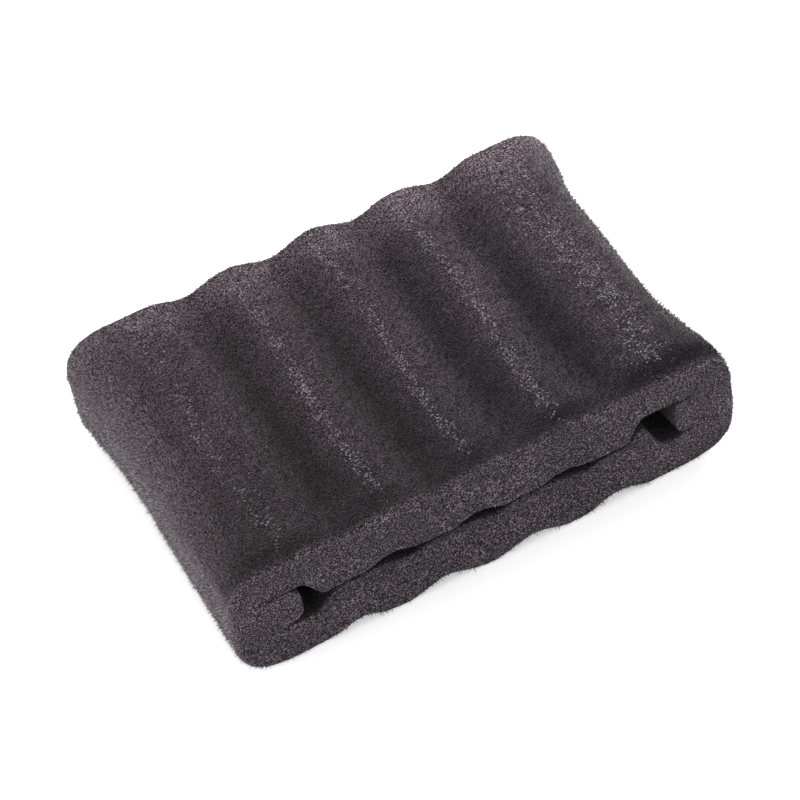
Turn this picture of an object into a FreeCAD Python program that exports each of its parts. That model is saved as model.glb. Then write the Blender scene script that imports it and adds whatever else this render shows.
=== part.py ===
import FreeCAD, Part
import math
import os

import Sketcher

# Flat foam filter sleeve: two corrugated foam walls, one above the other, joined along both short
# ends by a round-nosed foam strip. The slot between the walls runs right through from front to back.
# Frame: X along the width, Y along the depth (front cut face at -Y), Z up, origin at the middle of
# the underside. The two walls are the same piece, the lower one turned over, and so are the strips.

DIMENSIONS = {
    # whole sleeve
    "sleeve_width": 130.0,
    "sleeve_depth": 86.0,
    "sleeve_height": 35.0,
    # outside corrugation: three ridges and two end lobes, with four valleys between them
    "ridge_pitch": 22.5,
    "valley_depth": 2.5,
    "valley_radius": 14.0,
    "ridge_round": 5.0,
    # slot: the walls nearly touch below each valley, and part a little below each ridge
    "mouth_gap": 0.4,
    "lens_depth": 1.4,
    "lens_radius": 15.0,
    # void inside each end, between the inner shoulders of the walls and the nose of the strip
    "shoulder_start": 39.0,
    "shoulder_end": 45.0,
    "shoulder_round": 2.0,
    # end strip, with the clearance at each of its two joint faces
    "strip_height": 11.8,
    "strip_length": 17.0,
    "strip_clearance": 0.1,
}
VALLEYS = 4
LENSES = 3

# Sketcher's own numbers: the sketch's axes and origin, then a curve's start, end and centre.
X_AXIS = -1
Y_AXIS = -2
ORIGIN = (-1, 1)
START, END, CENTRE = 1, 2, 3
QUARTER_TURN = math.pi / 2

doc = FreeCAD.newDocument("filter_sleeve")


def make_sheet():
    """The driving dimensions, in millimetres, one aliased cell each."""
    sheet = doc.addObject("Spreadsheet::Sheet", "dims")
    for row, (alias, value) in enumerate(DIMENSIONS.items(), start=1):
        sheet.set(f"A{row}", alias)
        sheet.set(f"B{row}", str(value))
        sheet.setAlias(f"B{row}", alias)
    doc.recompute()
    return sheet


def point(x, y):
    return FreeCAD.Vector(x, y, 0)


def front_sketch(body, name):
    """A sketch of the cross-section: its x is the sleeve's X, and its y is the sleeve's Z."""
    sketch = body.newObject("Sketcher::SketchObject", name)
    plane = next(f for f in body.Origin.OriginFeatures if f.Role == "XZ_Plane")
    sketch.AttachmentSupport = (plane, [""])
    sketch.MapMode = "FlatFace"
    return sketch


def line(sketch, start, end):
    return sketch.addGeometry(Part.LineSegment(point(*start), point(*end)), False)


def arc(sketch, centre, radius, start_angle, end_angle):
    circle = Part.Circle(point(*centre), FreeCAD.Vector(0, 0, 1), radius)
    return sketch.addGeometry(Part.ArcOfCircle(circle, start_angle, end_angle), False)


def hold(sketch, kind, *where):
    """A constraint with no size, such as Horizontal."""
    sketch.addConstraint(Sketcher.Constraint(kind, *where))


def size(sketch, name, expression, kind, *where):
    """A sketch dimension that the sheet drives. The curves are drawn at their sizes, so it starts true."""
    value = doc.dims.evalExpression(expression.replace("dims.", ""))
    index = sketch.addConstraint(Sketcher.Constraint(kind, *where, float(value)))
    sketch.renameConstraint(index, name)
    sketch.setExpression(f"Constraints.{name}", expression)


def close_outline(sketch, outline):
    for first, second in zip(outline, outline[1:] + outline[:1]):
        hold(sketch, "Coincident", first, END, second, START)


def draw_wall(sketch):
    """A wall's section above the sleeve's middle: slot face, shoulders, joint faces, ends and top."""
    d = DIMENSIONS
    half_width = d["sleeve_width"] / 2
    half_height = d["sleeve_height"] / 2
    slot = d["mouth_gap"] / 2
    joint = d["strip_height"] / 2
    corner = half_height - joint
    start, stop = d["shoulder_start"], d["shoulder_end"]
    corner_x = half_width - corner

    slot_face = line(sketch, (-start, slot), (start, slot))
    right_shoulder = line(sketch, (start, slot), (stop, joint))
    right_joint = line(sketch, (stop, joint), (half_width, joint))
    right_corner = arc(sketch, (corner_x, joint), corner, 0, QUARTER_TURN)
    top = line(sketch, (corner_x, half_height), (-corner_x, half_height))
    left_corner = arc(sketch, (-corner_x, joint), corner, QUARTER_TURN, 2 * QUARTER_TURN)
    left_joint = line(sketch, (-half_width, joint), (-stop, joint))
    left_shoulder = line(sketch, (-stop, joint), (-start, slot))
    close_outline(sketch, [slot_face, right_shoulder, right_joint, right_corner, top, left_corner,
                           left_joint, left_shoulder])

    hold(sketch, "Horizontal", right_joint)
    hold(sketch, "Horizontal", right_corner, START, right_corner, CENTRE)
    hold(sketch, "Vertical", right_corner, END, right_corner, CENTRE)
    hold(sketch, "Horizontal", left_corner, END, left_corner, CENTRE)
    hold(sketch, "Symmetric", slot_face, START, slot_face, END, Y_AXIS)
    hold(sketch, "Symmetric", left_joint, END, right_joint, START, Y_AXIS)
    hold(sketch, "Symmetric", left_joint, START, right_joint, END, Y_AXIS)
    hold(sketch, "Symmetric", top, START, top, END, Y_AXIS)
    size(sketch, "slot_half", "dims.shoulder_start", "DistanceX", *ORIGIN, slot_face, END)
    size(sketch, "slot_level", "dims.mouth_gap / 2", "DistanceY", *ORIGIN, slot_face, END)
    size(sketch, "joint_start", "dims.shoulder_end", "DistanceX", *ORIGIN, right_joint, START)
    size(sketch, "joint_level", "dims.strip_height / 2", "DistanceY", *ORIGIN, right_joint, START)
    size(sketch, "half_width", "dims.sleeve_width / 2", "DistanceX", *ORIGIN, right_joint, END)
    size(sketch, "top_level", "dims.sleeve_height / 2", "DistanceY", *ORIGIN, top, START)


def draw_strip(sketch):
    """A strip's section at the right end: outer end, two joint faces and the half-round nose."""
    d = DIMENSIONS
    half_width = d["sleeve_width"] / 2
    half = d["strip_height"] / 2 - d["strip_clearance"]
    nose_x = half_width - d["strip_length"] + half

    outer_end = line(sketch, (half_width, -half), (half_width, half))
    upper_face = line(sketch, (half_width, half), (nose_x, half))
    nose = arc(sketch, (nose_x, 0), half, QUARTER_TURN, 3 * QUARTER_TURN)
    lower_face = line(sketch, (nose_x, -half), (half_width, -half))
    close_outline(sketch, [outer_end, upper_face, nose, lower_face])

    hold(sketch, "Symmetric", outer_end, START, outer_end, END, X_AXIS)
    hold(sketch, "Horizontal", upper_face)
    hold(sketch, "PointOnObject", nose, CENTRE, X_AXIS)
    hold(sketch, "Vertical", nose, START, nose, CENTRE)
    hold(sketch, "Vertical", nose, END, nose, CENTRE)
    size(sketch, "half_width", "dims.sleeve_width / 2", "DistanceX", *ORIGIN, outer_end, END)
    size(sketch, "half_thick", "dims.strip_height / 2 - dims.strip_clearance",
         "DistanceY", *ORIGIN, outer_end, END)
    size(sketch, "nose_centre",
         "dims.sleeve_width / 2 - dims.strip_length + dims.strip_height / 2 - dims.strip_clearance",
         "DistanceX", *ORIGIN, nose, CENTRE)


def pad_through(body, sketch):
    """The section drawn out over the sleeve's whole depth, equally to the front and the back."""
    pad = body.newObject("PartDesign::Pad", "foam")
    pad.Profile = sketch
    pad.SideType = "Symmetric"
    pad.setExpression("Length", "dims.sleeve_depth")
    doc.recompute()
    return pad


def groove_row(body, name, radius, first_x, centre_level, count):
    """A row of equal round-bottomed grooves, one pitch apart, cut from front to back.

    radius, first_x and centre_level are expressions on the sheet: the grooves' radius, the X of the
    first groove and the height of its axis above the sleeve's middle.
    """
    before = body.Tip.Shape.Volume
    sketch = front_sketch(body, f"{name}_section")
    centre = point(doc.dims.evalExpression(first_x.replace("dims.", "")),
                   doc.dims.evalExpression(centre_level.replace("dims.", "")))
    groove_radius = doc.dims.evalExpression(radius.replace("dims.", ""))
    circle = sketch.addGeometry(Part.Circle(centre, FreeCAD.Vector(0, 0, 1), groove_radius), False)
    size(sketch, "groove_radius", radius, "Radius", circle)
    size(sketch, "groove_x", first_x, "DistanceX", *ORIGIN, circle, CENTRE)
    size(sketch, "groove_level", centre_level, "DistanceY", *ORIGIN, circle, CENTRE)
    cut = body.newObject("PartDesign::Pocket", name)
    cut.Profile = sketch
    cut.SideType = "Symmetric"
    cut.setExpression("Length", "dims.sleeve_depth * 2")
    doc.recompute()
    row = body.newObject("PartDesign::LinearPattern", f"{name}_row")
    row.Originals = [cut]
    row.Direction = (sketch, ["H_Axis"])
    row.Occurrences = count
    row.setExpression("Length", f"dims.ridge_pitch * {count - 1}")
    body.Tip = row
    doc.recompute()
    one = before - cut.Shape.Volume
    all_of_them = before - row.Shape.Volume
    if one <= 0 or abs(all_of_them - count * one) > 0.01 * all_of_them:
        raise ValueError(f"{body.Label}: {name} doesn't cut {count} equal grooves")
    return row


def edges_along_depth(shape, wanted):
    """Names of the straight front-to-back edges that wanted(x, z) picks."""
    names = []
    for number, edge in enumerate(shape.Edges, start=1):
        first, last = edge.Vertexes[0].Point, edge.Vertexes[-1].Point
        if abs(first.y - last.y) > DIMENSIONS["sleeve_depth"] / 2 and wanted(first.x, first.z):
            names.append(f"Edge{number}")
    return names


def round_edges(body, name, radius, wanted):
    base = body.Tip
    fillet = body.newObject("PartDesign::Fillet", name)
    fillet.Base = (base, edges_along_depth(base.Shape, wanted))
    fillet.setExpression("Radius", radius)
    body.Tip = fillet
    doc.recompute()
    return fillet


def make_wall(name):
    """One corrugated wall, drawn as the upper one, with the sleeve's middle at z = 0."""
    d = DIMENSIONS
    body = doc.addObject("PartDesign::Body", name)
    body.Label = name
    section = front_sketch(body, "section")
    draw_wall(section)
    pad_through(body, section)
    groove_row(
        body, "valley", "dims.valley_radius",
        f"dims.ridge_pitch * -{(VALLEYS - 1) / 2}",
        "dims.sleeve_height / 2 - dims.valley_depth + dims.valley_radius", VALLEYS,
    )
    groove_row(
        body, "lens", "dims.lens_radius",
        f"dims.ridge_pitch * -{(LENSES - 1) / 2}",
        "dims.mouth_gap / 2 + dims.lens_depth - dims.lens_radius", LENSES,
    )
    outer_valley = d["ridge_pitch"] * VALLEYS / 2
    top = d["sleeve_height"] / 2
    round_edges(body, "ridge_rounding", "dims.ridge_round",
                lambda x, z: abs(z - top) < 0.01 and abs(x) < outer_valley)
    round_edges(body, "shoulder_rounding", "dims.shoulder_round",
                lambda x, z: abs(abs(x) - d["shoulder_start"]) < 0.01)
    return body


def make_strip(name):
    """One end strip, drawn at the right end, with the sleeve's middle at z = 0."""
    body = doc.addObject("PartDesign::Body", name)
    body.Label = name
    section = front_sketch(body, "section")
    draw_strip(section)
    pad_through(body, section)
    return body


def place(body, axis, angle):
    """Lifts a body from the sleeve's middle plane to its height, turned half round where it has to be."""
    body.Placement = FreeCAD.Placement(point(0, 0), FreeCAD.Rotation(FreeCAD.Vector(*axis), angle))
    body.setExpression("Placement.Base.z", "dims.sleeve_height / 2")


def check(bodies):
    doc.recompute()
    for item in doc.Objects:
        if "Invalid" in item.State or "Error" in item.State:
            raise ValueError(f"{item.Name} failed: {item.State}")
    for body in bodies:
        if body.Shape.isNull() or not body.Shape.isValid() or len(body.Shape.Solids) != 1:
            raise ValueError(f"{body.Label} isn't one valid solid")


make_sheet()
upper_wall = make_wall("upper_wall")
lower_wall = make_wall("lower_wall")
left_strip = make_strip("left_end_strip")
right_strip = make_strip("right_end_strip")
place(upper_wall, (0, 1, 0), 0)
place(lower_wall, (0, 1, 0), 180)
place(left_strip, (0, 0, 1), 180)
place(right_strip, (0, 0, 1), 0)

parts = [upper_wall, lower_wall, left_strip, right_strip]
check(parts)
os.makedirs("parts", exist_ok=True)
for part in parts:
    part.Shape.exportStep(os.path.join("parts", f"{part.Label}.step"))
    box = part.Shape.BoundBox
    print(f"{part.Label}: {part.Shape.Volume:.0f} mm3, X {box.XMin:.1f} to {box.XMax:.1f}, "
          f"Y {box.YMin:.1f} to {box.YMax:.1f}, Z {box.ZMin:.1f} to {box.ZMax:.1f}")
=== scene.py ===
import math

import bpy
import numpy as np
from mathutils import Matrix, Vector, noise
from mathutils.geometry import delaunay_2d_cdt


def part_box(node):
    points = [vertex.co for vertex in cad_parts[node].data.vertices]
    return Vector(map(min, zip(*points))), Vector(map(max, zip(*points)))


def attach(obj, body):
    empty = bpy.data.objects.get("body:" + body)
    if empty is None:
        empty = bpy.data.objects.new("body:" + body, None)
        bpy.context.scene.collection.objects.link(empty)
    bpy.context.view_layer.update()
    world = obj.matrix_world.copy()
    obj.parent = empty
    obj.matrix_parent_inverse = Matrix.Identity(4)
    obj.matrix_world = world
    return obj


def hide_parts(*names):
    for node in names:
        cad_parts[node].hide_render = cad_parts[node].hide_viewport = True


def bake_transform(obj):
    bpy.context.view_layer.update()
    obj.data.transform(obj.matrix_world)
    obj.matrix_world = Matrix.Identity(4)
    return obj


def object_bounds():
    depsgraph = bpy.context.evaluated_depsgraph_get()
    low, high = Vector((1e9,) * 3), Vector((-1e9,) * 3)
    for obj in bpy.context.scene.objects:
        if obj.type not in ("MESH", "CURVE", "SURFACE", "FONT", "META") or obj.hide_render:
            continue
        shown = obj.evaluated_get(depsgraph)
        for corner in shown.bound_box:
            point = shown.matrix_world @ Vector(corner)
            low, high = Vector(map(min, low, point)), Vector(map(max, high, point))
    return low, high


# The foam filter sleeve's looks. Lengths are in metres, in the CAD's frame: X along the width, Y along
# the depth with the front cut face at -Y, Z up. The foam is made as one ring-shaped section carried
# from front to back, and divided on the CAD's own joint planes into two walls and two end strips.

MM = 0.001
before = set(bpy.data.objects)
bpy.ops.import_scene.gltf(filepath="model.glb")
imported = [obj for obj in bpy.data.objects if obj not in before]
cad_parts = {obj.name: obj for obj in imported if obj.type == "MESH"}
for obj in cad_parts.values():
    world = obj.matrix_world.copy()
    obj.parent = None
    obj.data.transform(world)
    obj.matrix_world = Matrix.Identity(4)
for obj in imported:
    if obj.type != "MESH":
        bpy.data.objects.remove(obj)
cad_box = [list(corner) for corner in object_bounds()]

LOW, HIGH = (Vector(corner) for corner in cad_box)
STRIP_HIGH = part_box("right_end_strip")[1]
HALF_W = (HIGH.x - LOW.x) / 2
HALF_D = (HIGH.y - LOW.y) / 2
HALF_H = (HIGH.z - LOW.z) / 2
MIDDLE = (LOW + HIGH) / 2
JOINT = HALF_H - (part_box("upper_wall")[1].z - STRIP_HIGH.z)  # joint plane, from mid-height

# outside corrugation
PITCH = 22.6 * MM
RIDGE_X = 0.7 * MM  # the middle ridge's crest
VALLEY = 2.9 * MM
FRONT_VALLEY = 1.7 * MM  # the top's valleys are shallower at the front cut
END_ROUND = 12.5 * MM  # how far in from each end the outline begins to fall
END_POWER = 2.35  # 2 is a quarter ellipse, and more is squarer

# slot between the walls
SLOT = 0.42 * MM
LENS_HALF = 7.5 * MM
LENS_UP, LENS_DOWN, LENS_LEAN = 1.9 * MM, 1.5 * MM, 4.4 * MM
RIGHT_LIP = 4.0 * MM  # the lower wall rises in a lip beside the right end's hollow
SLIT_END = 53 * MM  # beside each strip's nose, the walls part a little as far out as this
SLIT_START = 48 * MM
# where each slot face turns from the slot to a joint plane, as start and run, in mm from the middle
LEFT_TURN = {1: (41.8, 5.8), -1: (38.0, 6.8)}
RIGHT_TURN = {1: (36.6, 5.4), -1: (41.5, 5.2)}
LEFT_OVER = {1: 0.1 * MM, -1: 0.45 * MM}  # past the joint plane in each end's hollow
RIGHT_OVER = 0.8 * MM

# mesh
OUTER_STEP = 0.6 * MM
SLOT_STEP = 0.8 * MM
JOINT_STEP = 2.0 * MM
DEPTH_STEP = 0.6 * MM
EDGE_ROUND = 0.5 * MM
CELL = 0.75 * MM
LUMPS = ((0.35, 15 * MM), (0.16, 4.5 * MM), (0.16, 0.9 * CELL))  # each one's height in mm, and its size

# nap: the broken cell ends that stand out of the foam
SPIKES_PER_AREA = 1.5 / MM**2
END_SPIKES_PER_AREA = 5.0 / MM**2  # round the ends
CUT_SPIKES_PER_AREA = 1.2 / MM**2
FRINGE = 1.5 * MM  # the cut faces' borders are as dense as the ends, this far in
SPIKE_WIDTH = 0.34  # of the triangle that it stands on
CUT_SPIKE_HEIGHT = 0.55  # of the height elsewhere
FLOOR_CLEAR, NEAR_FLOOR = 0.15 * MM, 1 * MM
SPIKE_LOW, SPIKE_MORE, SPIKE_LEAN = 0.35 * MM, 0.65 * MM, 0.38
FRINGE_LOW, FRINGE_MORE, FRINGE_LEAN = 0.3 * MM, 0.9 * MM, 0.42

rng = np.random.default_rng(7)


# ---------------------------------------------------------------- outlines

def smooth(t):
    t = np.clip(t, 0, 1)
    return t * t * (3 - 2 * t)


def bump(t):
    """A round hump from 0 at -1 through 1 at 0 to 0 at 1."""
    t = np.clip(t, -1, 1)
    return 0.5 + 0.5 * np.cos(np.pi * t)


def valley(x):
    """How deep the corrugation is at x, from 0 on the ridges and end lobes to 1 in the valleys."""
    wave = 0.5 - 0.5 * np.cos(2 * np.pi * (x - RIDGE_X) / PITCH)
    return np.where(abs(x - RIDGE_X) < 2 * PITCH, wave ** 1.3, 0)


def outer_top():
    """The outline over the top, from the right joint plane to the left one, as dense points."""
    turn = np.linspace(0, math.pi / 2, 60)
    end_x = HALF_W - END_ROUND + END_ROUND * np.cos(turn) ** (2 / END_POWER)
    end_z = JOINT + (HALF_H - JOINT) * np.sin(turn) ** (2 / END_POWER)
    flat_x = np.linspace(HALF_W - END_ROUND, END_ROUND - HALF_W, 900)[1:-1]
    x = np.concatenate([end_x, flat_x, -end_x[::-1]])
    z = np.concatenate([end_z, np.full(len(flat_x), HALF_H), end_z[::-1]])
    return np.stack([x, z - VALLEY * valley(x)], 1)


def slot_line(x):
    """The slot's own height, which wanders a little from side to side."""
    return -1.0 * MM + 0.25 * MM * np.sin(x / (19 * MM) + 2.2)


def slot_face(x, side):
    """The height of a wall's slot face at x: side is 1 for the upper wall and -1 for the lower one."""
    lens = sum(bump((x - RIDGE_X - n * PITCH + side * LENS_LEAN / 2) / LENS_HALF) for n in (-1, 0, 1))
    rise = SLOT + lens * (LENS_UP if side > 0 else LENS_DOWN)
    left_start, left_run = LEFT_TURN[side]
    right_start, right_run = RIGHT_TURN[side]
    left = smooth((-x / MM - left_start) / left_run)
    right = smooth((x / MM - right_start) / right_run)
    at_left = (JOINT + LEFT_OVER[side]) * side
    at_right = (JOINT + RIGHT_OVER) * side
    level = slot_line(x) + side * rise
    if side < 0:
        level = level + RIGHT_LIP * bump((x - 40.9 * MM) / (4.2 * MM))
    level = level + (at_left - level) * left
    level = level + (at_right - level) * right
    outward = smooth((abs(x) - SLIT_START) / (SLIT_END - SLIT_START))
    return level + (JOINT * side - level) * outward


def nose(side, power, reach):
    """The strip's inner end as dense points, from its upper joint plane to its lower one."""
    turn = np.linspace(0, math.pi, 80)
    half = JOINT - 0.12 * MM
    x = SLIT_END - (SLIT_END - reach) * np.sin(turn) ** (2 / power)
    z = np.sign(np.cos(turn)) * half * abs(np.cos(turn)) ** (2 / power)
    ease = smooth((SLIT_END - x) / (1.5 * MM))
    z = np.where(abs(z) > 0.5 * half, np.sign(z) * (JOINT - (JOINT - abs(z)) * ease), z)
    return np.stack([side * x, z], 1)


def resample(points, step):
    """The same line with points a step apart, and the outward normal at each, for a line that runs
    anticlockwise round the foam."""
    gaps = np.linalg.norm(np.diff(points, axis=0), axis=1)
    along = np.concatenate([[0], np.cumsum(gaps)])
    count = max(2, round(along[-1] / step) + 1)
    at = np.linspace(0, along[-1], count)
    line = np.stack([np.interp(at, along, points[:, k]) for k in (0, 1)], 1)
    tangent = np.gradient(line, axis=0)
    normal = np.stack([tangent[:, 1], -tangent[:, 0]], 1)
    return line, normal / np.linalg.norm(normal, axis=1)[:, None]


class Outline:
    """A piece's closed section: runs of points, each with its normal and how much of it is in view."""

    def __init__(self):
        self.points, self.normals, self.seen = [], [], []

    def run(self, points, step, seen=1.0):
        line, normal = resample(np.asarray(points, float), step)
        self.points += list(line[:-1])
        self.normals += list(normal[:-1])
        self.seen += [seen] * (len(line) - 1)
        self.last = (line[-1], normal[-1], seen)
        return self

    def joint(self, points):
        """A flat face on a joint plane. Its ends keep the normals of the runs beside it."""
        start, normal, seen = self.last
        self.points.append(start)
        self.normals.append(normal)
        self.seen.append(seen)
        line, _ = resample(np.asarray(points, float), JOINT_STEP)
        self.points += list(line[1:-1])
        self.normals += [np.zeros(2)] * (len(line) - 2)
        self.seen += [0.0] * (len(line) - 2)
        return self

    def arrays(self):
        return np.array(self.points), np.array(self.normals), np.array(self.seen)


def wall_outline(side):
    outer = outer_top()
    if side < 0:
        outer = -outer  # turned half round: from the left joint plane to the right one
    x = np.linspace(-SLIT_END, SLIT_END, 1200) * side
    slot = np.stack([x, slot_face(x, side)], 1)
    out = side * HALF_W
    level = side * JOINT
    outline = Outline().run(outer, OUTER_STEP)
    outline.joint([(-out, level), (-side * SLIT_END, level)])
    outline.run(slot, SLOT_STEP, 0.5)
    outline.joint([(side * SLIT_END, level), (out, level)])
    return outline.arrays()


def strip_outline(side, power, reach):
    end = [(side * HALF_W, -side * JOINT), (side * HALF_W, side * JOINT)]
    inner = nose(side, power, reach)
    if side < 0:
        inner = inner[::-1]
    outline = Outline().run(end, OUTER_STEP)
    outline.joint([(side * HALF_W, side * JOINT), (side * SLIT_END, side * JOINT)])
    outline.run(inner, OUTER_STEP, 0.5)
    outline.joint([(side * SLIT_END, -side * JOINT), (side * HALF_W, -side * JOINT)])
    return outline.arrays()


# ---------------------------------------------------------------- the foam's true shape

def settle(points):
    """The soft sleeve's own shape: points in the frame, moved as a whole from the straight section."""
    x, y, z = points.T
    z = z - HALF_H
    back = (y + HALF_D) / (2 * HALF_D)
    upper = np.clip(z / HALF_H, 0, 1)
    rightward = smooth((x / HALF_W + 0.05) / 1.05)
    leftward = smooth((-x / HALF_W - 0.1) / 0.9)
    # the right end is drawn in at its waist, and the left end is a little full towards the front
    waist = 0.6 - 4.3 * smooth(back / 0.32) * (1 - 0.8 * smooth((back - 0.75) / 0.25))
    waist = waist * MM * rightward
    belly = 0.5 + 0.55 * bump((back - 0.6) / 0.4) - 1.6 * smooth((back - 0.75) / 0.25)
    belly = belly * MM * leftward
    fall = (1.1 + 0.9 * smooth(2 * x / HALF_W - 0.4)) * (1 - 0.6 * valley(x))
    fall = fall * MM * smooth(1 - (y + HALF_D) / (7 * MM)) * upper
    shallow = (VALLEY - FRONT_VALLEY) * valley(x) * (1 - smooth(back / 0.25)) * upper
    # in front, the lower wall stands back a little from the upper one, and leans out to its foot
    lean = 0.4 - 1.0 * smooth((-z / HALF_H - 0.12) / 0.75)
    under = smooth((46 * MM - abs(x)) / (8 * MM)) * (z < slot_line(x))
    back_step = lean * MM * (1 - back) * under
    return np.stack([x + waist + belly, y + back_step, z + shallow - fall + HALF_H], 1)


def lumps(points):
    """The moulded foam's unevenness at each point, along its normal."""
    out = np.empty(len(points))
    for n, point in enumerate(points):
        p = Vector(point)
        out[n] = sum(height * noise.noise(p / size) for height, size in LUMPS)
    return out * MM


# ---------------------------------------------------------------- mesh

def layers():
    """Depths of the section's layers and how far each is drawn in, rounding the cut edges."""
    inner = np.linspace(EDGE_ROUND - HALF_D, HALF_D - EDGE_ROUND, round(2 * HALF_D / DEPTH_STEP))
    edge_y = EDGE_ROUND * (1 - np.array([1.0, 0.55]))
    edge_in = EDGE_ROUND * np.array([0.75, 0.15])
    depth = np.concatenate([-HALF_D + edge_y, inner, HALF_D - edge_y[::-1]])
    inset = np.concatenate([edge_in, np.zeros(len(inner)), edge_in[::-1]])
    return depth, inset


def inside(points, outline):
    """Which points are inside a closed outline."""
    x, z = points.T
    hit = np.zeros(len(points), bool)
    for (x0, z0), (x1, z1) in zip(outline, np.roll(outline, -1, axis=0)):
        if z0 != z1:
            crosses = (z0 > z) != (z1 > z)
            hit ^= crosses & (x < (x1 - x0) * (z - z0) / (z1 - z0) + x0)
    return hit


def cap_points(outline):
    """Scattered points over a cut face, clear of its outline."""
    step = OUTER_STEP * 1.05
    low, high = outline.min(0), outline.max(0)
    columns = np.arange(low[0], high[0], step)
    rows = np.arange(low[1], high[1], step * 0.87)
    grid = np.array([(x + step / 2 * (n % 2), z) for n, z in enumerate(rows) for x in columns])
    grid += rng.uniform(-0.22, 0.22, grid.shape) * step
    grid = grid[inside(grid, outline)]
    nearest = np.full(len(grid), 1.0)
    for point in outline:
        nearest = np.minimum(nearest, ((grid - point) ** 2).sum(1))
    return grid[nearest > (0.6 * step) ** 2]


class Foam:
    """Gathers one piece's vertices, and its triangles with their map corners."""

    def __init__(self, outline, normals, seen):
        self.outline, self.normals, self.seen = outline, normals, seen
        self.count = len(outline)
        self.depth, self.inset = layers()
        self.vertices, self.directions, self.cut = [], [], []
        self.triangles, self.corners, self.shown = [], [], []
        self.make_sides()
        self.make_caps()

    def add_vertices(self, points, directions, cut):
        first = sum(len(v) for v in self.vertices)
        self.vertices.append(points)
        self.directions.append(directions)
        self.cut.append(np.full(len(points), cut) if np.isscalar(cut) else cut)
        return first

    def add_triangles(self, triangles, corners, shown):
        self.triangles.append(triangles)
        self.corners.append(corners)
        self.shown.append(shown)

    def make_sides(self):
        """The section carried through the depth."""
        n, rows = self.count, len(self.depth)
        moving = np.linalg.norm(self.normals, axis=1) > 0
        for y, inset in zip(self.depth, self.inset):
            flat = self.outline - self.normals * inset
            points = np.stack([flat[:, 0], np.full(n, y), flat[:, 1] + HALF_H], 1)
            facing = np.stack([self.normals[:, 0], np.zeros(n), self.normals[:, 1]], 1)
            if inset > 0:
                facing[moving] += np.array([0, math.copysign(inset / EDGE_ROUND, y), 0])
            slack = rng.uniform(-1, 1, n) * DEPTH_STEP * 0.2 * (inset == 0)
            points[:, 1] += slack * moving
            self.add_vertices(points, facing, float(inset > 0.5 * EDGE_ROUND))
        gaps = np.linalg.norm(np.roll(self.outline, -1, axis=0) - self.outline, axis=1)
        seen = np.maximum(self.seen, np.roll(self.seen, -1))
        along = np.concatenate([[0], np.cumsum(gaps * np.where(seen >= 1, 1, 0.35))])
        i, j = (a.ravel() for a in np.meshgrid(np.arange(n), np.arange(rows - 1)))
        a, b = j * n + i, j * n + (i + 1) % n
        c, d = b + n, a + n
        index = {"a": a, "b": b, "c": c, "d": d}
        at = {corner: np.stack([along[i + di], self.depth[j + dj]], 1)
              for corner, di, dj in (("a", 0, 0), ("b", 1, 0), ("c", 1, 1), ("d", 0, 1))}
        swap = rng.random(len(i)) < 0.5  # each square's two triangles lie one way or the other
        for straight, crossed in (("acb", "adb"), ("adc", "bdc")):
            tri = np.where(swap[:, None], np.stack([index[k] for k in crossed], 1),
                           np.stack([index[k] for k in straight], 1))
            uv = np.where(swap[:, None, None], np.stack([at[k] for k in crossed], 1),
                          np.stack([at[k] for k in straight], 1))
            self.add_triangles(tri, uv, seen[i])
        self.map_width = along[-1]

    def make_caps(self):
        """The two cut faces, which share one triangulation."""
        edge = self.outline - self.normals * self.inset[0]
        extra = cap_points(edge)
        flat = np.concatenate([edge, extra])
        border = [(n, (n + 1) % self.count) for n in range(self.count)]
        _, _, faces, made_from, _, _ = delaunay_2d_cdt(
            [Vector(p / MM) for p in flat], border, [], 0, 1e-7, True)
        source = np.array([ids[0] for ids in made_from])
        tri = source[np.array(faces)]
        tri = tri[inside(flat[tri].mean(1), edge)]
        middle = flat - flat.min(0)
        height = np.ptp(flat[:, 1])
        for side, row in ((-1, 0), (1, len(self.depth) - 1)):
            points = np.stack([extra[:, 0], np.full(len(extra), side * HALF_D),
                               extra[:, 1] + HALF_H], 1)
            first = self.add_vertices(points, np.tile([0.0, side, 0.0], (len(extra), 1)), 1.0)
            index = np.where(tri < self.count, tri + row * self.count, tri - self.count + first)
            level = HALF_D + 1 * MM + (0 if side < 0 else height + 1 * MM)
            uv = (middle + [0, level])[tri]
            if side > 0:
                index, uv = index[:, ::-1], uv[:, ::-1]
            self.add_triangles(index, uv, np.ones(len(index)))

    def shape(self):
        """The true shape: settled, uneven, and set with the foam's open cell ends."""
        points = np.concatenate(self.vertices)
        facing = np.concatenate(self.directions)
        length = np.linalg.norm(facing, axis=1)
        facing[length > 0] /= length[length > 0][:, None]
        cut = np.concatenate(self.cut)
        edge = self.border(points, cut)
        points = settle(points) + facing * lumps(points)[:, None]
        points[:, 2] = np.maximum(points[:, 2], LOW.z)  # pressed flat where it rests
        tri, uv, shown = (np.concatenate(a) for a in (self.triangles, self.corners, self.shown))
        return self.spike(points, tri, uv, shown, cut, edge)

    def border(self, points, cut):
        """How near each point of a cut face is to the face's outer edge, from 0 to 1."""
        nearest = np.full(len(points), 1.0)
        flat = points[:, [0, 2]] - [0, HALF_H]
        for corner in self.outline[self.seen >= 1]:
            nearest = np.minimum(nearest, ((flat - corner) ** 2).sum(1))
        near = smooth(1 - np.sqrt(nearest) / FRINGE) ** 0.5 * cut
        front_top = (points[:, 1] < 0) * smooth(flat[:, 1] / HALF_H)
        return near * (1 - 0.75 * front_top)

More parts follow.
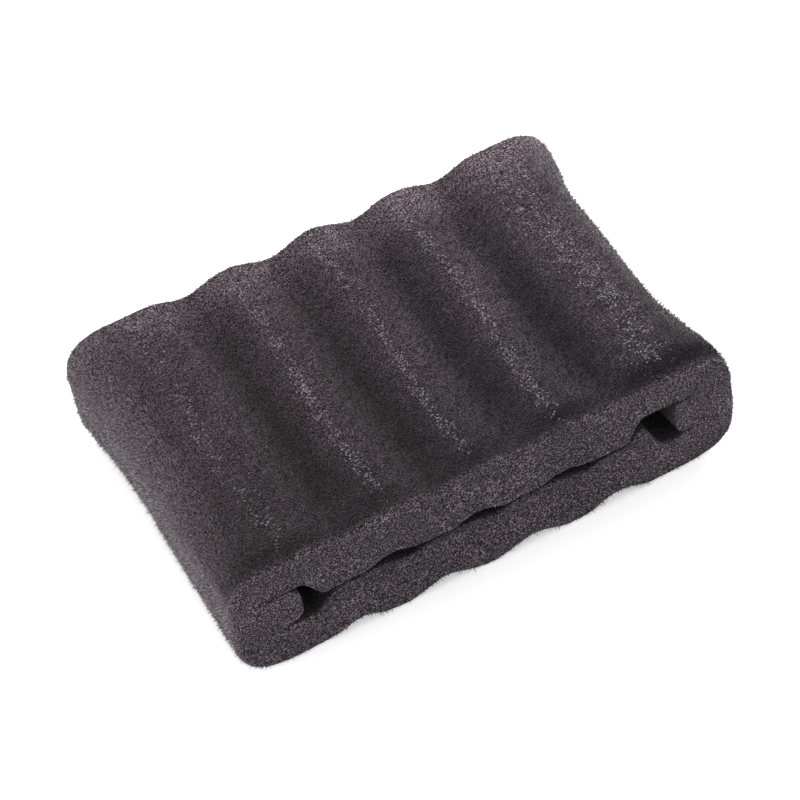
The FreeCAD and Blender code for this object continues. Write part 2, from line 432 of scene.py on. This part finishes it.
    def spike(self, points, tri, uv, shown, cut, edge):
        """Raises a short strut from scattered triangles: the broken cells that make the foam's nap."""
        a, b, c = (points[tri[:, k]] for k in range(3))
        across = np.cross(b - a, c - a)
        area = np.linalg.norm(across, axis=1) / 2
        normal = across / np.maximum(area[:, None] * 2, 1e-12)
        centre = (a + b + c) / 3
        clear_of_floor = centre[:, 2] + normal[:, 2] * FRINGE_MORE > FLOOR_CLEAR
        on_cut = cut[tri].mean(1) > 0.5
        end = smooth((abs(centre[:, 0]) / HALF_W - 0.8) / 0.1)
        near_cut = smooth(1 - (HALF_D - abs(centre[:, 1])) / FRINGE)
        near_cut = near_cut * ((centre[:, 1] > 0) | (centre[:, 2] < HALF_H))
        fringe = np.maximum(np.maximum(end, near_cut) * ~on_cut, edge[tri].mean(1))
        sparse = np.where(on_cut, CUT_SPIKES_PER_AREA, SPIKES_PER_AREA)
        density = sparse + (END_SPIKES_PER_AREA - sparse) * fringe
        pick = (rng.random(len(tri)) < area * density) & (shown > 0.9) & clear_of_floor
        count = pick.sum()
        fringe = fringe[pick]
        part = rng.random(count)
        shorter = np.where(on_cut[pick], CUT_SPIKE_HEIGHT, 1)
        height = SPIKE_LOW * shorter + SPIKE_MORE * shorter * part ** 1.5
        height += (FRINGE_LOW + FRINGE_MORE * part ** 1.4 - height) * fringe
        spread = SPIKE_LEAN + (FRINGE_LEAN - SPIKE_LEAN) * fringe
        lean = rng.normal(0, 1, (count, 3)) * spread[:, None]
        near_floor = centre[pick, 2] < NEAR_FLOOR
        lean[near_floor, 2] *= 0.3
        kept, base = tri[~pick], tri[pick]
        kept_uv, base_uv = uv[~pick], uv[pick]
        middle, middle_uv = centre[pick], base_uv.mean(1)
        tip = middle + (normal[pick] + lean) * height[:, None]
        tip[:, 2] = np.maximum(tip[:, 2], LOW.z)
        width = SPIKE_WIDTH * rng.uniform(0.7, 1.2, (count, 1)) * (1 - 0.25 * fringe[:, None])
        foot = [middle + (points[base[:, k]] - middle) * width for k in range(3)]
        foot_uv = [middle_uv + (base_uv[:, k] - middle_uv) * width for k in range(3)]
        first = len(points)
        at = [first + k * count + np.arange(count) for k in range(3)]
        apex = first + 3 * count + np.arange(count)
        new, new_uv = [kept], [kept_uv]
        for k in range(3):
            m = (k + 1) % 3
            new += [np.stack([base[:, k], base[:, m], at[m]], 1),
                    np.stack([base[:, k], at[m], at[k]], 1),
                    np.stack([at[k], at[m], apex], 1)]
            new_uv += [np.stack([base_uv[:, k], base_uv[:, m], foot_uv[m]], 1),
                       np.stack([base_uv[:, k], foot_uv[m], foot_uv[k]], 1),
                       np.stack([foot_uv[k], foot_uv[m], middle_uv], 1)]
        share = cut[base].mean(1)
        self.flat = np.concatenate([np.zeros(len(kept), bool)] + 3 * [
            np.repeat([False, False, True], count)])
        # how near the tip a vertex is: a tip is 0.5 in the open and 1 in the fringe
        foot_tip = 0.16 * fringe
        self.is_tip = np.concatenate([np.zeros(first), foot_tip, foot_tip, foot_tip,
                                      0.5 + 0.5 * fringe])
        self.cut_share = np.concatenate([cut, share, share, share, share])
        return np.concatenate([points, *foot, tip]), np.concatenate(new), np.concatenate(new_uv)


def painted_crest_glints(points):
    """Where glints are painted on the foam: along the ridges' crests and in a band on each end lobe."""
    x, y, z = points.T
    back = (y + HALF_D) / (2 * HALF_D)
    gleam = np.zeros(len(points))
    # each band's middle, its half-width in mm and its strength
    bands = [(RIDGE_X - PITCH, 1.3, 1.15), (RIDGE_X, 1.3, 1.05), (RIDGE_X + PITCH, 1.4, 1.05),
             (HALF_W - 15 * MM, 4.2, 0.8), (17 * MM - HALF_W, 2.5, 0.35)]
    for centre, width, strength in bands:
        wander = 0.8 * MM * np.sin(y / (11 * MM) + centre * 300)
        gleam += strength * np.exp(-((x - centre + 1.0 * MM - wander) / (width * MM)) ** 2)
    return gleam * smooth((z - 1.6 * HALF_H) / (0.15 * HALF_H)) * smooth(back / 0.12)


def painted_rim_light(points):
    """Where the foam is painted paler, as painted rim light: towards its back edge, round its ends and
    along the front's top edge.
    """
    x, y, z = points.T
    back = smooth((y / HALF_D - 0.62) / 0.38) * (1.35 - 0.5 * valley(x))
    back = back * (1 + 0.4 * smooth(x / HALF_W + 0.5))  # more so to the right
    end = smooth((abs(x) / HALF_W - 0.86) / 0.13)
    front = bump((y + HALF_D - 0.1 * MM) / (0.9 * MM)) * smooth((z - 1.7 * HALF_H) / (0.1 * HALF_H))
    return np.maximum(np.maximum(back, 0.8 * end), 0.6 * front) * smooth(z / HALF_H)


# this depth carries the painted shade deep in the slot
def depth_inside(points, cut, run):
    """How deep in the slot a point is, from 0 at the cut faces and on the outside to 1 well inside."""
    x, y, z = points.T
    face = np.maximum(slot_face(x, 1), 0.5 * MM), np.minimum(slot_face(x, -1), -0.5 * MM)
    level = z - HALF_H
    within = (level < face[0] + 1.6 * MM) & (level > face[1] - 1.6 * MM) & (abs(x) < SLIT_END)
    return within * smooth((HALF_D - abs(y)) / run) * (1 - cut)


def painted_front_shade(points, cut):
    """Painted shade behind the front cut, most of all on the crests, in the valleys, and on the cut
    faces just below the slot."""
    x, y, z = points.T
    top = smooth((z - 1.45 * HALF_H) / (0.3 * HALF_H))
    behind = bump((y + HALF_D - 3.2 * MM) / (5.5 * MM)) * (1 - valley(x))
    behind = behind * (0.3 + 0.7 * smooth(x / HALF_W + 0.5))
    broad = 1 - smooth((y + HALF_D) / (1.1 * HALF_D))
    broad = broad * smooth((y + HALF_D) / (2 * MM))
    hollow = valley(x) * bump((y + 0.1 * HALF_D) / (1.2 * HALF_D))
    below = slot_line(x) + HALF_H - z
    under = (below > 0) * np.exp(-(below / (3.4 * MM)) ** 2) * smooth((48 * MM - abs(x)) / (8 * MM)) * cut
    return np.clip(top * (0.50 * behind + 0.50 * broad + 0.66 * hollow) + 0.45 * under, 0, 1)


def make_piece(name, outline, material, dark_run):
    foam = Foam(*outline)
    points, tri, uv = foam.shape()
    mesh = bpy.data.meshes.new(name)
    mesh.from_pydata(points.tolist(), [], tri.tolist())
    mesh.polygons.foreach_set("use_smooth", ~foam.flat)
    layer = mesh.uv_layers.new(name="OFBake")
    size = max(foam.map_width, uv[..., 1].max() + HALF_D) * 1.01
    margin = 0.002 * size
    uv = (uv + [margin, HALF_D + margin]) / size
    layer.data.foreach_set("uv", uv.astype(np.float32).ravel())
    cut = foam.cut_share
    # masks for the material, among them the painted glints, painted shade, painted shade deep in the slot
    # and painted rim light
    shades = {
        "tip": foam.is_tip,
        "cut": cut,
        "gleam": painted_crest_glints(points),
        "shade": painted_front_shade(points, cut),
        "deep": depth_inside(points, cut, dark_run),
        "rim": painted_rim_light(points) * (1 - 0.7 * cut),
    }
    for label, values in shades.items():
        mesh.attributes.new(label, "FLOAT", "POINT").data.foreach_set(
            "value", values.astype(np.float32))
    rest = mesh.attributes.new("rest", "FLOAT_VECTOR", "POINT")
    rest.data.foreach_set("vector", (points / MM).astype(np.float32).ravel())
    mesh.materials.append(material)
    mesh.validate()
    piece = bpy.data.objects.new(name, mesh)
    bpy.context.scene.collection.objects.link(piece)
    return piece


# ---------------------------------------------------------------- material

PORE, STRUT = (0.0030, 0.0024, 0.0027, 1), (0.0980, 0.0735, 0.0845, 1)
CUT_PORE, CUT_STRUT = (0.0028, 0.0022, 0.0028, 1), (0.1920, 0.1530, 0.1890, 1)
# the fringe colour is a painted glow: pale strand tips for light coming through the backlit fibres
SPIKE_COLOUR, PAINTED_FRINGE_GLOW = (0.1725, 0.1500, 0.1628, 1), (0.7600, 0.7200, 0.7500, 1)
# painted shade colours, warm on the left and bluish on the right
SHADED_LEFT, SHADED_RIGHT = (0.0085, 0.0068, 0.0074, 1), (0.0075, 0.0060, 0.0100, 1)
# painted shade deep in the slot
PAINTED_SLOT_SHADE = (0.0030, 0.0030, 0.0036, 1)
# the colour of the painted glints on the crests
PAINTED_GLINT_COLOUR = (0.2700, 0.2475, 0.2625, 1)


class Nodes:
    """Short names for making a material's nodes."""

    def __init__(self, name):
        self.material = bpy.data.materials.new(name)
        self.material.use_nodes = True
        self.tree = self.material.node_tree
        self.shader = self.tree.nodes["Principled BSDF"]

    def add(self, kind, inputs=(), **settings):
        node = self.tree.nodes.new(kind)
        for key, value in settings.items():
            setattr(node, key, value)
        for key, value in dict(inputs).items():
            self.put(value, node.inputs[key])
        return node

    def put(self, value, socket):
        if isinstance(value, bpy.types.NodeSocket):
            self.tree.links.new(value, socket)
        else:
            socket.default_value = value

    def attribute(self, name, output="Fac"):
        return self.add("ShaderNodeAttribute", attribute_name=name).outputs[output]

    def math(self, operation, a, b, c=0.0):
        return self.add("ShaderNodeMath", {0: a, 1: b, 2: c}, operation=operation).outputs[0]

    def span(self, value, low, high, to_low=0.0, to_high=1.0):
        return self.add("ShaderNodeMapRange", {
            "Value": value, "From Min": low, "From Max": high, "To Min": to_low, "To Max": to_high,
        }, interpolation_type="SMOOTHSTEP").outputs["Result"]

    def mix(self, share, a, b, blend="MIX"):
        node = self.add("ShaderNodeMix", data_type="RGBA", blend_type=blend)
        self.put(share, node.inputs["Factor"])
        self.put(a, node.inputs[6])
        self.put(b, node.inputs[7])
        return node.outputs[2]

    def noise(self, where, scale, detail=2.0, roughness=0.5, output="Fac"):
        return self.add("ShaderNodeTexNoise", {
            "Vector": where, "Scale": scale, "Detail": detail, "Roughness": roughness,
        }).outputs[output]

    def voronoi(self, where, scale, feature="F1"):
        return self.add("ShaderNodeTexVoronoi", {"Vector": where, "Scale": scale}, feature=feature)


def foam_material():
    """Open-cell foam: pale struts round dark pores, with painted glints on the crests. Where things lie
    is in mm, from the vertices' own places at rest."""
    n = Nodes("charcoal_foam")
    where = n.attribute("rest", "Vector")
    stirred = n.add("ShaderNodeVectorMath", {
        0: where, 1: n.noise(where, 0.9, 1.0, output="Color"),
    }, operation="ADD").outputs[0]
    per_mm = MM / CELL
    cells = n.voronoi(stirred, per_mm, "DISTANCE_TO_EDGE").outputs["Distance"]
    struts = n.span(cells, 0.0, 0.20, 1.0, 0.0)
    fine = n.span(n.noise(where, 2.4, 2.0, 0.6), 0.41, 0.62)
    height = n.math("ADD", n.math("MULTIPLY", struts, 0.38), n.math("MULTIPLY", fine, 0.62))

    tone = n.mix(n.span(height, 0.15, 0.95), PORE, STRUT)
    cut_tone = n.mix(n.span(height, 0.34, 1.0), CUT_PORE, CUT_STRUT)
    colour = n.mix(n.attribute("cut"), tone, cut_tone)
    # random broad tone, raised by the painted rim light at the back, the ends and the front's top edge
    broad = n.math("MULTIPLY", n.span(n.noise(where, 0.07, 2.0), 0.35, 0.65, 0.88, 1.12),
                   n.math("MULTIPLY_ADD", n.attribute("rim"), 1.1, 1.0))
    grey = n.add("ShaderNodeCombineColor", {"Red": broad, "Green": broad, "Blue": broad}).outputs[0]
    colour = n.mix(1.0, colour, grey, "MULTIPLY")
    # the fringe's strand tips get a painted glow, paler towards the tip
    strand = n.mix(n.span(n.attribute("tip"), 0.5, 0.9), SPIKE_COLOUR, PAINTED_FRINGE_GLOW)
    colour = n.mix(n.span(n.attribute("tip"), 0.0, 0.6, 0.0, 0.9), colour, strand)
    # painted shade behind the front cut, in the valleys and on the cut faces under the slot
    across = n.add("ShaderNodeSeparateXYZ", {"Vector": where}).outputs["X"]
    shaded = n.mix(n.span(across, -20, 45), SHADED_LEFT, SHADED_RIGHT)
    colour = n.mix(n.attribute("shade"), colour, shaded)
    # painted shade deep in the slot
    colour = n.mix(n.math("MULTIPLY", n.attribute("deep"), 0.8), colour, PAINTED_SLOT_SHADE)

    # painted glints: scattered bright cells along the crests and on the end lobes
    glint_cells = n.voronoi(where, 1.15 * per_mm)
    chance = n.add("ShaderNodeSeparateColor", {"Color": glint_cells.outputs["Color"]}).outputs["Red"]
    ragged = n.math("MULTIPLY_ADD", fine, -0.3, glint_cells.outputs["Distance"])
    near = n.span(ragged, 0.1, 0.33, 1.0, 0.0)
    patchy = n.span(n.noise(where, 0.22, 2.0), 0.42, 0.58)
    likely = n.math("MULTIPLY", n.attribute("gleam"), n.math("MULTIPLY_ADD", patchy, 0.75, 0.5))
    lit = n.span(n.math("SUBTRACT", n.math("ADD", chance, likely), 1.0), -0.05, 0.1)
    gleam = n.math("MULTIPLY", n.math("MULTIPLY", lit, near), 0.75)
    colour = n.mix(gleam, colour, PAINTED_GLINT_COLOUR)

    bump_node = n.add("ShaderNodeBump", {"Height": height, "Strength": 1.0, "Distance": 0.35 * MM})
    shader = n.shader
    n.put(colour, shader.inputs["Base Color"])
    n.put(n.span(struts, 0, 1, 0.95, 0.72), shader.inputs["Roughness"])
    n.put(bump_node.outputs["Normal"], shader.inputs["Normal"])
    shader.inputs["Specular IOR Level"].default_value = 0.12
    shader.inputs["Sheen Weight"].default_value = 0.09
    shader.inputs["Sheen Roughness"].default_value = 0.45
    shader.inputs["Sheen Tint"].default_value = (0.9, 0.82, 0.9, 1)
    return n.material


# ---------------------------------------------------------------- setting

def floor_material():
    n = Nodes("pale_floor")
    where = n.add("ShaderNodeTexCoord").outputs["Object"]
    tone = n.mix(n.noise(where, 3.0, 2.0), (0.93, 0.93, 0.93, 1), (0.96, 0.96, 0.96, 1))
    n.put(tone, n.shader.inputs["Base Color"])
    n.shader.inputs["Roughness"].default_value = 0.8
    n.shader.inputs["Specular IOR Level"].default_value = 0.1
    n.shader.inputs["Emission Color"].default_value = (1, 1, 1, 1)
    n.shader.inputs["Emission Strength"].default_value = 0.3
    return n.material


def make_floor():
    mesh = bpy.data.meshes.new("floor")
    reach = 6.0
    corners = [(x * reach, y * reach, 0) for x, y in ((-1, -1), (1, -1), (1, 1), (-1, 1))]
    mesh.from_pydata(corners, [], [(0, 1, 2, 3)])
    mesh.materials.append(floor_material())
    floor = bpy.data.objects.new("floor", mesh)
    floor.location.z = LOW.z - 0.1 * MM
    bpy.context.scene.collection.objects.link(floor)


def make_light(name, azimuth, elevation, distance, size, power, tint=(1, 1, 1)):
    """A square soft light that faces the sleeve. Azimuth 0 is in front, and 90 is to the right."""
    turn, rise = math.radians(azimuth), math.radians(elevation)
    level = math.cos(rise)
    away = Vector((math.sin(turn) * level, -math.cos(turn) * level, math.sin(rise)))
    data = bpy.data.lights.new(name, "AREA")
    data.size, data.energy, data.color = size, power, tint
    light = bpy.data.objects.new(name, data)
    light.location = MIDDLE + away * distance
    light.rotation_euler = away.to_track_quat("Z", "Y").to_euler()
    bpy.context.scene.collection.objects.link(light)


def make_world(strength):
    world = bpy.data.worlds.new("studio")
    world.use_nodes = True
    world.node_tree.nodes["Background"].inputs["Color"].default_value = (1, 1, 1, 1)
    world.node_tree.nodes["Background"].inputs["Strength"].default_value = strength
    bpy.context.scene.world = world


def make_camera():
    """From the front left, high up, with a long lens and the camera rolled a little."""
    width = 2 * HALF_W
    turn, rise, roll = math.radians(-20.2), math.radians(49.1), math.radians(10)
    level = math.cos(rise)
    ahead = Vector((-math.sin(turn) * level, math.cos(turn) * level, -math.sin(rise)))
    right = Vector((math.cos(turn), math.sin(turn), 0))
    up = right.cross(ahead)
    aim = MIDDLE - up * 0.014 * width
    side = right * math.cos(roll) - up * math.sin(roll)
    top = right * math.sin(roll) + up * math.cos(roll)
    data = bpy.data.cameras.new("camera")
    data.lens = 161.4
    data.clip_end = 50
    camera = bpy.data.objects.new("camera", data)
    pose = Matrix([side, top, -ahead]).transposed().to_4x4()
    pose.translation = aim - ahead * 6.5 * width
    camera.matrix_world = pose
    bpy.context.scene.collection.objects.link(camera)
    bpy.context.scene.camera = camera


# ---------------------------------------------------------------- the sleeve

make_camera()
make_floor()
make_world(1.0)
make_light("right_soft", 122, 22, 0.38, 0.26, 2.5)
make_light("left_soft", -95, 12, 0.7, 0.4, 4.0)
make_light("front_soft", 5, 20, 1.2, 0.9, 2.4, (0.95, 0.97, 1.0))
bpy.context.scene.view_settings.view_transform = "Standard"

WALL_DARK, STRIP_DARK = 1.4 * MM, 8 * MM  # how far in from the cut faces the painted shade in the slot is full
foam = foam_material()
upper = make_piece("upper_wall_foam", wall_outline(1), foam, WALL_DARK)
lower = make_piece("lower_wall_foam", wall_outline(-1), foam, WALL_DARK)
left = make_piece("left_end_foam", strip_outline(-1, 3.4, 47.5 * MM), foam, STRIP_DARK)
right = make_piece("right_end_foam", strip_outline(1, 4.0, 49.6 * MM), foam, STRIP_DARK)

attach(upper, "upper_body")
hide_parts("upper_wall")
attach(lower, "lower_body")
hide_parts("lower_wall")
for piece, node in ((left, "left_end_strip"), (right, "right_end_strip")):
    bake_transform(piece)
    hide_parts(node)
